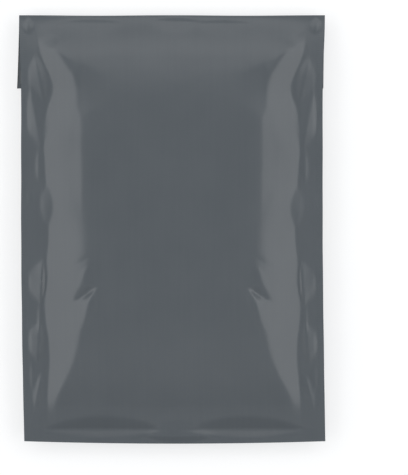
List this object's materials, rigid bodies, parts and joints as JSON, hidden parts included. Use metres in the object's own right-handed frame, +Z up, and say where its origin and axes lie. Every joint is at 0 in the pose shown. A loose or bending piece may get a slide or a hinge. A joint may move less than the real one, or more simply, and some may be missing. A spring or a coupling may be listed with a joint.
{
  "type": "poly mailer bag",
  "caption": "Filled film mailing bag, welded along its sides and lying on its back, with its closing flap, adhesive strip and peel-off liner folded under.",
  "frame": {"origin": "on the surface that the bag lies on, under the middle of the bag", "axes": "+X across the bag, +Y along it towards the mouth fold, +Z up and out of its front panel"},
  "size_m": [0.127, 0.1768, 0.017],
  "materials": {
    "film": "soft-sheen dark grey polyethylene film, black on its inner side",
    "adhesive": "clear amber hot-melt adhesive",
    "liner": "grey release film with a silicone coat"
  },
  "bodies": {
    "root": {"film_bag": "film", "adhesive_strip": "adhesive", "release_liner": "liner"}
  },
  "joints": []
}
